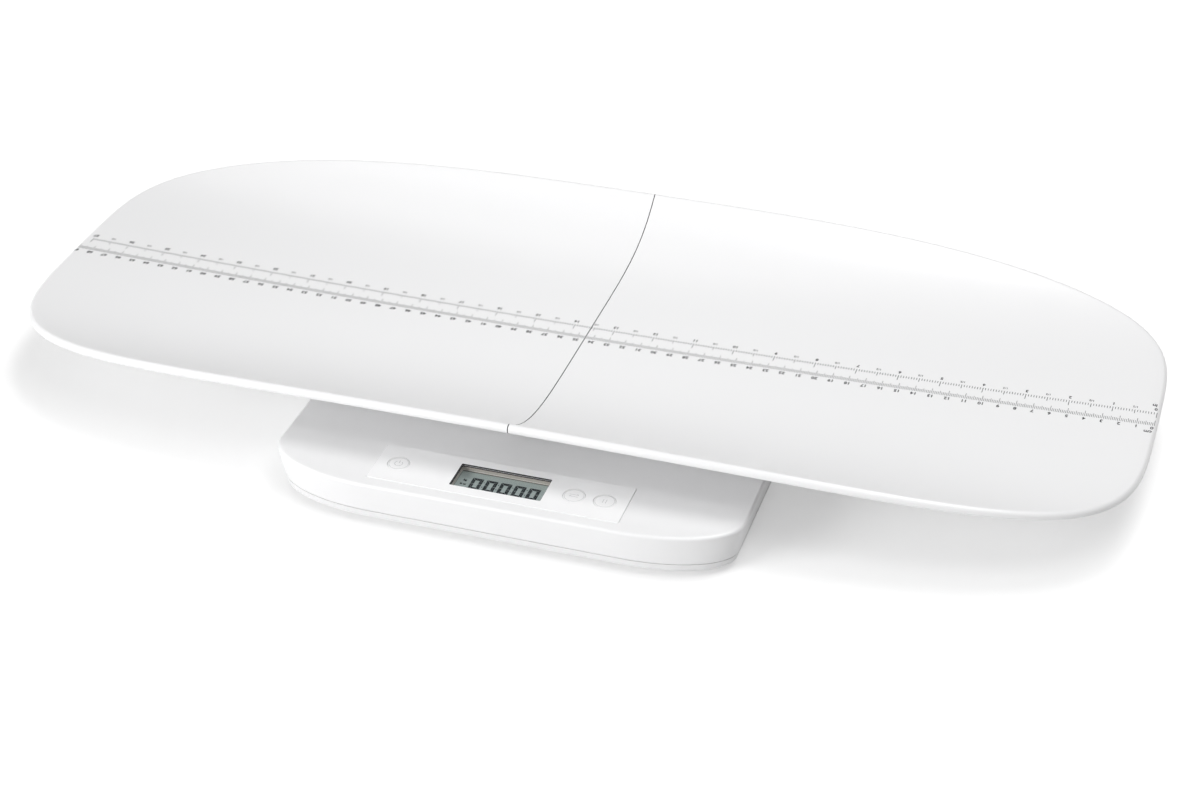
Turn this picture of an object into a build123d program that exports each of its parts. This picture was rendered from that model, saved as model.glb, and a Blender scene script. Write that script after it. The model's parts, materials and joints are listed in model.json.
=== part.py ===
"""Digital baby weighing scale: two-piece measuring tray on a base with four load-cell feet.

Millimetres.  +X runs along the tray, +Y away from the display side, +Z up.  The origin lies on
the floor, under the middle of the whole scale.  One STEP file is written for each sub-part.
"""

import os
from math import cos, hypot, pi, sin, tan

from build123d import *

# ------------------------------------------------------------------ driving dimensions

# Tray: a shallow dish in two halves, read along X, with long sides that curl up.
tray_length = 694.0
tray_width = 293.0
tray_centre_y = 16.15
tray_floor_z = 41.3            # top surface of the dish at its centre
tray_wall = 2.6
tray_gap = 0.5                 # the butt seam between the halves
end_rise = 5.2                 # how far the dish has risen where it reaches its short ends
side_rise = 26.6               # rise of the long sides before their edge is rounded
side_fade = 0.41               # share of that rise that is gone at the short ends
side_power = 5.0               # the sides stay flat, then turn up quickly
outline_power_x = 3.7          # the plan is a superellipse, grown by the lip's radius
outline_power_y = 4.3
lip_height = 4.7               # height of the rolled lip at the ends
lip_extra = 2.4                # and what it gains along the raised sides
lip_radius = 2.6               # round of its upper edge
lip_under_radius = 1.8         # and of its lower one

# Stiffening under each half: a frame that stands on the base, and ribs out under the wing.
bearing_centre_x = 62.0
bearing_size = (112.0, 170.0)
bearing_wall = 2.5
bearing_rib_y = (-40.0, 0.0, 40.0)
wing_rib_y = (-60.0, 0.0, 60.0)
wing_rib_x = (116.0, 310.0)
wing_rib_z = (31.6, 39.5)      # underside of a wing rib at its two ends
rib_thickness = 2.0
rib_root = 1.0                 # how far a rib sinks into the wall that it stands on

# Pegs under the tray that drop into sockets in the base.
peg_diameter = 10.0
peg_length = 7.5
peg_point = 1.0
peg_clearance = 0.2
peg_places = [(22.0, -70.0), (22.0, 96.0), (105.0, 12.0)]

# Base: a low box whose walls draw in towards the floor.
base_width = 282.0
base_depth = 306.0
base_front_y = -163.5
base_top_z = 31.0
base_bottom_z = 5.0
base_draw = 5.2                # how far each wall has moved in at the bottom edge
corner_x = 65.0                # the corners are quarter ellipses in plan
corner_y = 31.0
base_wall = 2.4
top_plate = 2.6
floor_plate = 2.0
parting_z = 10.3
parting_groove = 0.5
top_edge_radius = 1.6
bottom_edge = 1.2

# Ribs and bosses inside the base.
upper_rib_x = (-88.0, -48.0, 48.0, 88.0)
upper_rib_y = (-88.0, -32.0, 18.0, 66.0, 112.0)
upper_rib_low_z = 24.0
upper_rib_front_y = -112.0     # ribs along Y stop behind the circuit board
lower_rib_y = (-70.0, -20.0, 96.0)
lower_rib_height = 3.0
base_rib = 1.6
housing_bosses = [(0, -112), (126, -55), (-126, -55), (126, 70), (-126, 70), (0, 128)]
boss_joint_z = 9.0             # where the bosses of the two housings meet
board_bosses = [(-72, -150), (66, -150), (-72, -124), (66, -124)]

# Screws: shank diameter, length under the head, head diameter, head height.
housing_screw = (2.2, 14.0, 5.4, 1.4)
board_screw = (1.5, 6.0, 3.8, 1.2)
retainer_screw = (1.7, 4.2, 4.2, 1.2)
screw_seat_z = 6.8             # under the head of a housing screw

# Control panel, display and buttons, on the base in front of the tray.
panel_x = -2.1
panel_y = -137.4
panel_width = 150.8
panel_depth = 35.6
panel_corner = 1.5
panel_thickness = 1.2
panel_proud = 0.4              # how far its face stands above the base around it
panel_bevel = 0.3
window_width = 54.6
window_depth = 22.0
display_drop = 4.6             # from the panel's face down to the display glass
lens_thickness = 1.0
lcd_size = (60.0, 27.0)        # the lower pane, with a pad row along each long side
lcd_upper_depth = 23.4
pane_thickness = 1.1
button_diameter = 12.8
button_clearance = 0.2
button_y = -137.5
button_x = {"button_power": -64.2, "button_unit": 41.7, "button_hold": 59.8}
button_travel = 0.5
cap_bevel = 0.25
flange_z = (26.9, 28.0)
stem_diameter = 4.0

# Circuit board.
board_x = (-76.0, 70.0)
board_y = (-153.5, -120.5)
board_top_z = 21.2
board_thickness = 1.6
switch_side = 6.0
switch_height = 3.5
plunger_height = 5.0

# Connectors under the board, and the leads that run to them.
connector_y = -127.0
connector_x = {"left": -56.0, "right": 50.0, "battery": -38.0}
connector_size = (10.0, 6.0, 6.0)
lead_diameter = 1.3
lead_low_z = 12.6
lead_bend = 8.0

# Load cells and feet, one set near each corner.
cell_x = 98.0
cell_y = {"front": -122.0, "rear": 100.0}
cell_side = 34.0
cell_thickness = 1.2
cell_z = 8.0
retainer_z = (10.2, 11.6)
ear_offset = 23.0              # from a cell's centre to the screws of its retainer
ear_diameter = 6.4
foot_diameter = 22.0
foot_top_z = 5.8
foot_boss_diameter = 11.0
pad_diameter = 20.0
pad_thickness = 1.5

# Battery bay for three AAA cells lying along X, and its door.
bay_y = 42.0
bay_length = 52.0
bay_depth = 36.0
bay_wall = 1.6
bay_roof_z = 20.2
battery_diameter = 10.5
battery_length = 43.5
battery_nub = (3.8, 1.0)       # diameter and length of the positive end
battery_pitch = 11.4
battery_low_z = 8.4
contact_thickness = 0.5
leaf_thickness = 0.35
leaf_width = 7.2
door_margin = 1.5              # how far the door laps the floor plate all round
door_gap = 0.3
hook_x = (-16.0, 16.0)         # where the door hooks in behind the floor plate
hook_width = 7.0
latch_width = 12.0
grip_count = 5
grip_pitch = 2.2

# ------------------------------------------------------------------ worked-out values

half_length = tray_length / 2
half_width = tray_width / 2
base_centre_y = base_front_y + base_depth / 2
plate_under_z = base_top_z - top_plate
panel_top_z = base_top_z + panel_proud
panel_under_z = panel_top_z - panel_thickness
glass_top_z = panel_top_z - display_drop
board_under_z = board_top_z - board_thickness
ledge_z = base_bottom_z + floor_plate
door_width = bay_length + 2 * door_margin
door_depth = bay_depth + 2 * door_margin
far = 200.0                    # further out than any wall of the base


# ------------------------------------------------------------------ small helpers


def block(x, y, z):
    """A box from its lowest and highest value on each axis."""
    size = (x[1] - x[0], y[1] - y[0], z[1] - z[0])
    middle = ((x[0] + x[1]) / 2, (y[0] + y[1]) / 2, (z[0] + z[1]) / 2)
    return Pos(*middle) * Box(*size)


def slab(x, y, width, depth, z):
    """A box centred on x, y, between two heights."""
    return block((x - width / 2, x + width / 2), (y - depth / 2, y + depth / 2), z)


def disc(x, y, diameter, z):
    """An upright cylinder between two heights."""
    return Pos(x, y, (z[0] + z[1]) / 2) * Cylinder(diameter / 2, z[1] - z[0])


def frame(x, y, outer, inner, z):
    """An upright rectangular frame centred on x, y; outer and inner are (width, depth)."""
    return slab(x, y, *outer, z) - slab(x, y, *inner, (z[0] - 1, z[1] + 1))


def rounded_plate(x, y, width, depth, corner, z):
    """A plate with rounded corners, centred on x, y, between two heights."""
    return Pos(x, y, z[0]) * extrude(RectangleRounded(width, depth, corner), z[1] - z[0])


def bottom_edges(solid):
    """The edges of a solid's lowest face."""
    return solid.edges().group_by(Axis.Z)[0]


def top_edges(solid):
    """The edges of a solid's highest face."""
    return solid.edges().group_by(Axis.Z)[-1]


def total(solids):
    """Several solids as one part."""
    whole = Part()
    for solid in solids:
        whole += solid
    return whole


def save(name, shape):
    """Write one sub-part, named after its node."""
    shape.label = name
    export_step(shape, f"parts/{name}.step")


# ------------------------------------------------------------------ tray


def dish_surface(side, lift=0.0):
    """The curved sheet of one tray half as a spline face, its long sides rising by `side`."""
    columns, rows, spare = 12, 24, 6.0
    grid = []
    for i in range(columns + 1):
        x = -spare + (half_length + 2 * spare) * i / columns
        row = []
        for j in range(rows + 1):
            y = (half_width + spare) * (2 * j / rows - 1)
            along = (x / half_length) ** 2
            across = (abs(y) / half_width) ** side_power
            z = end_rise * along + side * (1 - side_fade * along) * across
            row.append(Vector(x, tray_centre_y + y, tray_floor_z + lift + z))
        grid.append(row)
    return Face.make_surface_from_array_of_points(grid, tol=0.02, min_deg=3, max_deg=5)


def under(face, depth):
    """The solid below a sheet, down by `depth`."""
    return extrude(face, amount=depth, dir=(0, 0, -1))


def tray_outline(inset, x_start):
    """Half of the tray's plan, drawn in by `inset`, from the seam to the right-hand end."""
    a, b = half_length - lip_radius, half_width - lip_radius
    grow = lip_radius - inset
    steps = 14
    points = []
    for i in range(-steps, steps + 1):
        side = 1 if i >= 0 else -1
        angle = pi / 2 * abs(i) / steps
        u = cos(angle) ** (2 / outline_power_x)
        v = sin(angle) ** (2 / outline_power_y)
        normal_x = outline_power_x * u ** (outline_power_x - 1) / a
        normal_y = outline_power_y * v ** (outline_power_y - 1) / b
        out = grow / hypot(normal_x, normal_y)
        points.append((a * u + out * normal_x, tray_centre_y + side * (b * v + out * normal_y)))
    with BuildSketch() as plan:
        with BuildLine():
            Spline(*points)
            Line(points[-1], points[0])
        make_face()
    keep = Pos(x_start + half_length, tray_centre_y) * Rectangle(2 * half_length, 3 * half_width)
    return plan.sketch & keep


def outline_edges(solid):
    """The edges that run round the outline, from the lowest to the highest."""
    found = []
    for edge in solid.edges():
        box = edge.bounding_box()
        if box.max.X - box.min.X > 1:
            found.append((box.min.Z, edge))
    return [edge for low, edge in sorted(found, key=lambda item: item[0])]


def make_tray_half():
    """The right-hand half: dish, rolled lip, stiffening ribs, bearing frame and pegs."""
    seam = tray_gap / 2
    tall, deep = 120, 60
    outer = extrude(tray_outline(0, seam), tall)
    body = outer & under(dish_surface(side_rise), deep)
    body = fillet(outline_edges(body)[-1], lip_radius)
    body -= under(dish_surface(side_rise - lip_extra, -lip_height), deep)
    body = fillet(outline_edges(body)[0], lip_under_radius)
    inner = extrude(tray_outline(tray_wall, seam + tray_wall), tall)
    underside = under(dish_surface(side_rise, -tray_wall), deep)
    shell = body - (inner & underside)
    return shell + tray_ribs(underside)


def tray_ribs(underside):
    """Ribs that stiffen the half, the frame that stands on the base, and the pegs."""
    inside = Pos(0, 0, rib_root) * underside
    high = 80
    half_rib = rib_thickness / 2
    hollow = (bearing_size[0] - 2 * bearing_wall, bearing_size[1] - 2 * bearing_wall)
    bearing = frame(bearing_centre_x, tray_centre_y, bearing_size, hollow, (base_top_z, high))
    width = bearing_size[0] - bearing_wall
    depth = bearing_size[1] - bearing_wall
    for y in bearing_rib_y:
        bearing += slab(bearing_centre_x, tray_centre_y + y, width, rib_thickness, (base_top_z, high))
    bearing += slab(bearing_centre_x, tray_centre_y, rib_thickness, depth, (base_top_z, high))
    ribs = bearing & inside

    start, end = wing_rib_x
    profile = Polyline((start, high), (end, high), (end, wing_rib_z[1]), (start, wing_rib_z[0]), close=True)
    for y in wing_rib_y:
        wing = Plane.XZ.offset(-(tray_centre_y + y + half_rib)) * make_face(profile)
        ribs += extrude(wing, rib_thickness) & inside

    for x, y in peg_places:
        peg = disc(x, y, peg_diameter, (base_top_z - peg_length, base_top_z + rib_root))
        peg = chamfer(bottom_edges(peg), peg_point)
        shoulder = disc(x, y, peg_diameter + 6, (base_top_z, high)) & inside
        ribs += peg + shoulder
    return ribs


# ------------------------------------------------------------------ base housings


def base_outline(inset, z):
    """Plan of the base at height z, drawn in by the wall's slope and then by `inset`."""
    inward = inset + base_draw * (base_top_z - z) / (base_top_z - base_bottom_z)
    rx, ry = corner_x - inward, corner_y - inward
    cx = base_width / 2 - corner_x
    cy = base_depth / 2 - corner_y
    with BuildSketch(Plane((0, base_centre_y, z))) as plan:
        with BuildLine():
            for sx, sy, start in ((1, 1, 0), (-1, 1, 90), (-1, -1, 180), (1, -1, 270)):
                EllipticalCenterArc((sx * cx, sy * cy), rx, ry, start_angle=start, arc_size=90)
            Line((cx, cy + ry), (-cx, cy + ry))
            Line((-cx - rx, cy), (-cx - rx, -cy))
            Line((-cx, -cy - ry), (cx, -cy - ry))
            Line((cx + rx, -cy), (cx + rx, cy))
        make_face()
    return plan.sketch


def base_block(inset, z):
    """The tapered body of the base between two heights, its wall moved in by `inset`."""
    return loft([base_outline(inset, z[0]), base_outline(inset, z[1])], ruled=True)


def tray_sockets():
    """The places in the base where the tray's pegs stand, for both halves."""
    return [(side * x, y) for side in (1, -1) for x, y in peg_places]


def make_upper_housing():
    """The white top shell: platform, panel recess, peg sockets, ribs and bosses."""
    floor = parting_z + parting_groove
    root = plate_under_z + 0.5
    shell = base_block(0, (floor, base_top_z))
    shell = fillet(top_edges(shell), top_edge_radius)
    hollow = base_block(base_wall, (floor - 4, plate_under_z))
    shell -= hollow & block((-far, far), (-far, far), (floor - 1, plate_under_z))

    half_rib = base_rib / 2
    height = (upper_rib_low_z, root)
    grid = total(block((x - half_rib, x + half_rib), (upper_rib_front_y, far), height) for x in upper_rib_x)
    grid += total(block((-far, far), (y - half_rib, y + half_rib), height) for y in upper_rib_y)
    shell += grid & base_block(base_wall - 0.5, (floor, root + 0.1))

    bore = peg_diameter + 2 * peg_clearance
    for x, y in tray_sockets():
        shell += disc(x, y, bore + 4, (base_top_z - peg_length - 2.3, root))
        socket = disc(x, y, bore, (base_top_z - peg_length - 0.9, base_top_z + 1))
        shell -= socket
    for x, y in housing_bosses:
        shell += disc(x, y, 8.0, (boss_joint_z, root))
        shell -= disc(x, y, housing_screw[0] + 0.2, (boss_joint_z - 1, screw_seat_z + housing_screw[1] + 3))
    for x, y in board_bosses:
        shell += disc(x, y, 5.4, (board_top_z, root))
        shell -= disc(x, y, board_screw[0] + 0.1, (board_top_z - 1, plate_under_z - 0.8))

    low = board_top_z - 1
    gap = 0.2
    shell -= rounded_plate(panel_x, panel_y, panel_width + gap, panel_depth + gap, panel_corner,
                           (panel_under_z, base_top_z + 1))
    shell -= slab(panel_x, panel_y, window_width + 3.6, window_depth + 3.6, (low, base_top_z))
    for x in button_x.values():
        shell -= disc(x, button_y, button_diameter + 2 * button_clearance, (low, base_top_z + 1))
    return shell


def make_lower_housing():
    """The bottom shell: battery bay, load-cell pockets, screw holes and a locating lip."""
    root = ledge_z - 0.5
    shell = base_block(0, (base_bottom_z, parting_z))
    shell = chamfer(bottom_edges(shell), bottom_edge)
    shell -= base_block(base_wall, (ledge_z, parting_z + 4))
    shell += locating_lip(root)
    for name, x, y in cell_places():
        wall, seat = cell_side + 1, cell_side + 2
        shell += frame(x, y, (wall + 4, wall + 4), (wall, wall), (root, retainer_z[0]))
        shell += frame(x, y, (seat, seat), (seat - 8, seat - 8), (root, cell_z))
        for side in (1, -1):
            shell += disc(x, y + side * ear_offset, ear_diameter, (root, retainer_z[0]))
            shell -= disc(x, y + side * ear_offset, retainer_screw[0] + 0.1, (ledge_z, retainer_z[1]))
        shell -= disc(x, y, foot_diameter + 2.4, (0, ledge_z + 1))
    shell = add_battery_bay(shell, root)
    for x, y in housing_bosses:
        shell += disc(x, y, 9.4, (root, boss_joint_z))
        shell -= disc(x, y, housing_screw[2] + 0.8, (0, screw_seat_z))
        shell -= disc(x, y, housing_screw[0] + 1.2, (0, boss_joint_z + 3))
    long_rib = base_width - 58
    for y in lower_rib_y:
        shell += slab(0, y, long_rib, base_rib, (root, ledge_z + lower_rib_height)) - cell_room()
    return shell


def locating_lip(root):
    """A thin wall inside the outer one, which the upper housing drops over."""
    lip = base_block(base_wall + 0.2, (root, parting_z + 2.4))
    lip -= base_block(base_wall + 1.6, (base_bottom_z, parting_z + 4))
    link = base_block(base_wall - 0.5, (root, parting_z - 1.5))
    link -= base_block(base_wall + 1.0, (base_bottom_z, parting_z + 4))
    return lip + link


def add_battery_bay(shell, root):
    """The walls and roof of the battery bay, with its door opening and the catches' slots."""
    bay = (bay_length, bay_depth)
    outer = (bay_length + 2 * bay_wall, bay_depth + 2 * bay_wall)
    shell += frame(0, bay_y, (outer[0] + 6, outer[1] + 6), bay, (root, ledge_z + 1.6))
    shell += frame(0, bay_y, outer, bay, (ledge_z, bay_roof_z))
    shell += slab(0, bay_y, *outer, (bay_roof_z, bay_roof_z + 1.4))
    shell -= slab(0, bay_y, door_width, door_depth, (0, ledge_z + 0.2))
    hinge_y = bay_y - door_depth / 2
    latch_y = bay_y + door_depth / 2
    for x in hook_x:
        across = (x - hook_width / 2 - 1, x + hook_width / 2 + 1)
        shell -= block(across, (hinge_y - 3.2, hinge_y + door_margin + 1), (ledge_z + 0.2, ledge_z + 3.4))
    catch = latch_width / 2 + 3
    shell -= block((-catch, catch), (latch_y - door_margin - 1, latch_y + 2.2), (ledge_z + 0.2, ledge_z + 6))
    finger = latch_width / 2 + 2
    shell -= block((-finger, finger), (latch_y - 1, latch_y + 7), (0, base_bottom_z + 0.8))
    return shell


def cell_places():
    """Name and place of each load-cell set."""
    places = []
    for end, y in cell_y.items():
        places.append((f"{end}_left", -cell_x, y))
        places.append((f"{end}_right", cell_x, y))
    return places


def cell_room():
    """Space kept for the four load cells, where no floor rib may run."""
    side = cell_side + 14
    return total(slab(x, y, side, side + 6, (0, parting_z + 10)) for name, x, y in cell_places())


# ------------------------------------------------------------------ panel, display, buttons


def make_control_panel():
    """The gloss overlay plate, cut through for the window and the three button caps."""
    through = (board_top_z, panel_top_z + 1)
    height = (panel_under_z, panel_top_z)
    plate = rounded_plate(panel_x, panel_y, panel_width, panel_depth, panel_corner, height)
    plate = chamfer(top_edges(plate), panel_bevel)
    plate -= rounded_plate(panel_x, panel_y, window_width, window_depth, 0.8, through)
    for x in button_x.values():
        plate -= disc(x, button_y, button_diameter + 2 * button_clearance, through)
    return plate


def make_button(x):
    """A flush cap with a retaining flange and a stem over its switch."""
    crown = disc(x, button_y, button_diameter, (flange_z[0], panel_top_z))
    crown = chamfer(top_edges(crown), cap_bevel)
    flange = disc(x, button_y, button_diameter + 2.2, flange_z)
    stem_low = board_top_z + plunger_height + button_travel + 0.1
    return crown + flange + disc(x, button_y, stem_diameter, (stem_low, flange_z[1]))


def make_display_lens():
    """The clear window, flush with the panel."""
    return rounded_plate(panel_x, panel_y, window_width - 0.2, window_depth - 0.2, 0.7,
                         (panel_top_z - lens_thickness, panel_top_z))


def make_lcd_frame():
    """The taupe frame: a collar that lines the window and a flange that holds the glass."""
    opening = (window_width - 1.0, window_depth - 1.0)
    lining = (window_width + 3.2, window_depth + 3.2)
    flange = (lcd_size[0] + 8, lcd_size[1] + 5)
    inside = (lcd_size[0] + 1.2, lcd_size[1] + 1.2)
    body = frame(panel_x, panel_y, lining, opening, (glass_top_z, panel_under_z - 0.1))
    body += frame(panel_x, panel_y, flange, opening, (glass_top_z, plate_under_z - 0.2))
    body += frame(panel_x, panel_y, flange, inside, (board_top_z + 0.1, glass_top_z + 0.5))
    return body


def make_lcd_glass():
    """Two bonded panes, the lower one wider so that its contact pads are exposed."""
    top = glass_top_z - 0.1
    upper = slab(panel_x, panel_y, lcd_size[0], lcd_upper_depth, (top - pane_thickness, top))
    lower = slab(panel_x, panel_y, *lcd_size, (top - 2 * pane_thickness, top - pane_thickness))
    return upper + lower


def make_zebra_strips():
    """Two rubber connector strips that join the glass to the board."""
    reach = lcd_size[1] / 2 - 1
    height = (board_top_z, glass_top_z - 0.1 - 2 * pane_thickness)
    return total(slab(panel_x, panel_y + side * reach, lcd_size[0] - 4, 1.8, height) for side in (1, -1))


# ------------------------------------------------------------------ electronics


def make_circuit_board():
    """The board, hung from four bosses of the upper housing."""
    board = block(board_x, board_y, (board_under_z, board_top_z))
    board = fillet(board.edges().filter_by(Axis.Z), 2.0)
    for x, y in board_bosses:
        board -= disc(x, y, 2.4, (board_under_z - 1, board_top_z + 1))
    return board


def connector_places():
    """Where the lead connectors sit under the board."""
    return [(x, connector_y) for x in connector_x.values()]


def make_board_components():
    """Chips, capacitors, a crystal and the lead connectors on the underside of the board."""
    parts = slab(-24, -138, 12, 12, (board_under_z - 1.8, board_under_z))
    parts += slab(1, -138, 10, 6, (board_under_z - 1.6, board_under_z))
    for x in (22, 32):
        parts += disc(x, -140, 6.3, (board_under_z - 7.5, board_under_z))
    parts += slab(47, -137, 10, 4, (board_under_z - 3.4, board_under_z))
    for i in range(6):
        parts += slab(-12.4 + 7 * i, -128.8, 3.2, 1.6, (board_under_z - 0.9, board_under_z))
    width, depth, height = connector_size
    for x, y in connector_places():
        parts += slab(x, y, width, depth, (board_under_z - height, board_under_z))
    return parts


def make_tact_switches():
    """A tact switch under each button."""
    switches = Part()
    for x in button_x.values():
        top = board_top_z + switch_height
        switches += slab(x, button_y, switch_side, switch_side, (board_top_z, top))
        switches += disc(x, button_y, 3.5, (top - 0.1, board_top_z + plunger_height))
    return switches


def screw(x, y, head_z, size, recess=False):
    """A pan-head screw driven upwards, with its head under head_z and a cross recess if asked."""
    shank, length, head, height = size
    cap = disc(x, y, head, (head_z - height, head_z))
    if recess:
        cap = chamfer(bottom_edges(cap), height * 0.4)
        deep = (head_z - height - 1, head_z - height * 0.5)
        cap -= slab(x, y, head * 0.6, head * 0.11, deep)
        cap -= slab(x, y, head * 0.11, head * 0.6, deep)
    return cap + disc(x, y, shank, (head_z, head_z + length))


def make_housing_screws():
    """Six screws that close the base from below."""
    return total(screw(x, y, screw_seat_z, housing_screw, recess=True) for x, y in housing_bosses)


def make_board_screws():
    """Four screws that hold the board."""
    return total(screw(x, y, board_under_z, board_screw) for x, y in board_bosses)


def make_retainer_screws():
    """Two screws for each load-cell retainer, driven down through its ears."""
    upright = screw(0, 0, 0, retainer_screw)
    return total(
        Pos(x, y + side * ear_offset, retainer_z[1]) * Rot(180, 0, 0) * upright
        for name, x, y in cell_places()
        for side in (1, -1)
    )


# ------------------------------------------------------------------ load cells and feet


def make_load_cell(x, y):
    """A half-bridge cell: a steel plate cut into a rim and a central tongue."""
    slot, reach = 2.4, 8.0
    plate = fillet(Rectangle(cell_side, cell_side).vertices(), 3)
    cuts = Pos(-reach, 1) * Rectangle(slot, 24) + Pos(reach, 1) * Rectangle(slot, 24)
    cuts += Pos(0, 12) * Rectangle(2 * reach + slot, slot)
    return Pos(x, y, cell_z) * extrude(plate - cuts, cell_thickness)


def make_retainer(x, y):
    """A moulded frame that holds a cell down, with an ear for a screw at each end."""
    outer = cell_side + 5
    body = frame(x, y, (outer, outer), (27, 27), retainer_z)
    rim = cell_side + 0.4
    body += frame(x, y, (rim, rim), (29, 29), (cell_z + cell_thickness, retainer_z[0] + 0.2))
    for side in (1, -1):
        ear_y = y + side * ear_offset
        body += disc(x, ear_y, ear_diameter, retainer_z)
        body += slab(x, y + side * (ear_offset - 2.5), ear_diameter, 5, retainer_z)
        body -= disc(x, ear_y, retainer_screw[0] + 0.3, (cell_z, retainer_z[1] + 1))
    return body


def make_foot(x, y):
    """The plastic foot that presses up on the cell's tongue."""
    body = disc(x, y, foot_diameter, (pad_thickness, foot_top_z))
    body = chamfer(bottom_edges(body), 0.8)
    return body + disc(x, y, foot_boss_diameter, (foot_top_z - 0.1, cell_z))


def make_pad(x, y):
    """The rubber pad under a foot."""
    pad = disc(x, y, pad_diameter, (0, pad_thickness))
    return chamfer(bottom_edges(pad), 0.5)


# ------------------------------------------------------------------ batteries


def battery_rows():
    """Row centre and direction of each cell; neighbours lie head to tail."""
    return [(bay_y + (i - 1) * battery_pitch, 1 if i % 2 == 0 else -1) for i in range(3)]


def make_battery(row):
    """One AAA cell with its nub."""
    y, way = battery_rows()[row]
    nub_diameter, nub_length = battery_nub
    along_x = Rot(0, 90, 0)
    body = chamfer(Cylinder(battery_diameter / 2, battery_length).edges(), 0.4)
    nub = Pos(0, 0, battery_length / 2 + nub_length / 2) * Cylinder(nub_diameter / 2, nub_length + 0.2)
    shift = way * (bay_length / 2 - 0.8 - nub_length - battery_length / 2)
    turn = Rot(0, 0, 0 if way > 0 else 180)
    return Pos(shift, y, battery_low_z + battery_diameter / 2) * turn * along_x * (body + nub)


def make_contact_plates():
    """Flat contacts at the positive ends."""
    plates = Part()
    for y, way in battery_rows():
        x = way * (bay_length / 2 - contact_thickness / 2)
        plates += slab(x, y, contact_thickness, 8.8, (battery_low_z + 0.6, bay_roof_z - 1))
    return plates


def make_contact_springs():
    """Bent leaf contacts that press on the negative ends."""
    springs = Part()
    low_z = battery_low_z + 0.8
    centre = battery_low_z + battery_diameter / 2
    for y, way in battery_rows():
        wall_x = -way * (bay_length / 2 - 0.25)
        reach = way * 4.4
        path = Polyline(
            (wall_x, bay_roof_z - 1), (wall_x, low_z), (wall_x + reach * 0.45, low_z),
            (wall_x + reach, centre), (wall_x + reach * 0.45, centre + 4.2),
        )
        leaf = Plane.XZ.offset(-(y + leaf_width / 2)) * trace(path, leaf_thickness)
        springs += extrude(leaf, leaf_width)
    return springs


def make_battery_door():
    """The lid, with two hooks at its hinge side and a finger latch opposite."""
    lid_x = door_width / 2 - door_gap
    hinge_y = bay_y - door_depth / 2 + door_gap
    latch_y = bay_y + door_depth / 2 - door_gap
    lid = block((-lid_x, lid_x), (hinge_y, latch_y), (base_bottom_z, ledge_z - 0.1))
    for x in hook_x:
        across = (x - hook_width / 2, x + hook_width / 2)
        lid += block(across, (hinge_y - 2.0, hinge_y + 3), (ledge_z + 0.5, ledge_z + 1.7))
        lid += block(across, (hinge_y + 0.6, hinge_y + 3), (ledge_z - 0.5, ledge_z + 1.0))
    across = (-latch_width / 2, latch_width / 2)
    lid += block(across, (latch_y - 2.4, latch_y - 1.2), (ledge_z - 0.5, ledge_z + 4.4))
    lid += block(across, (latch_y - 1.4, latch_y - 0.8), (ledge_z + 3.2, ledge_z + 4.4))
    for i in range(grip_count):
        y = latch_y - 4 - grip_pitch * i
        lid -= slab(0, y, latch_width + 4, 1.0, (base_bottom_z - 1, base_bottom_z + 0.4))
    return lid


# ------------------------------------------------------------------ leads


def lead(points):
    """A round lead through the given points, with an arc at each bend."""
    radii = []
    for before, corner, after in zip(points, points[1:], points[2:]):
        first = Vector(*corner) - Vector(*before)
        second = Vector(*after) - Vector(*corner)
        half_turn = first.get_angle(second) * pi / 360
        widest = 0.42 * min(first.length, second.length) / tan(half_turn)
        radii.append(min(lead_bend, widest))
    path = FilletPolyline(*points, radius=radii)
    start = Plane(origin=points[0], z_dir=Vector(*points[1]) - Vector(*points[0]))
    return sweep(start * Circle(lead_diameter / 2), path=path)


def make_cell_leads():
    """A lead from each load cell to the board's connector on its side."""
    leads = Part()
    plug_z = board_under_z - connector_size[2] / 2
    plug_y = connector_y + connector_size[1] / 2
    front_y = cell_y["front"] + 8
    rear_y = cell_y["rear"] - cell_side / 2 - 4
    for side, x in ((-1, connector_x["left"]), (1, connector_x["right"])):
        edge = side * (cell_x - cell_side / 2 - 3)
        front_x = x + side * 2
        rear_x = x - side * 2
        leads += lead([(edge, front_y, lead_low_z), (front_x, front_y, plug_z), (front_x, plug_y, plug_z)])
        leads += lead([(side * 90, rear_y, lead_low_z), (side * 68, -94, lead_low_z),
                       (rear_x, -106, plug_z), (rear_x, plug_y, plug_z)])
    return leads


def make_battery_leads():
    """Two leads from the battery bay to the board."""
    plug_z = board_under_z - connector_size[2] / 2
    plug_y = connector_y + connector_size[1] / 2
    leads = Part()
    for i, x in enumerate((-30.0, -33.0)):
        end_x = connector_x["battery"] + 1.5 - 3 * i
        leads += lead([(x, bay_y - 24, lead_low_z), (x, -80, lead_low_z), (end_x, -104, plug_z),
                       (end_x, plug_y, plug_z)])
    return leads


# ------------------------------------------------------------------ write every sub-part


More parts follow.
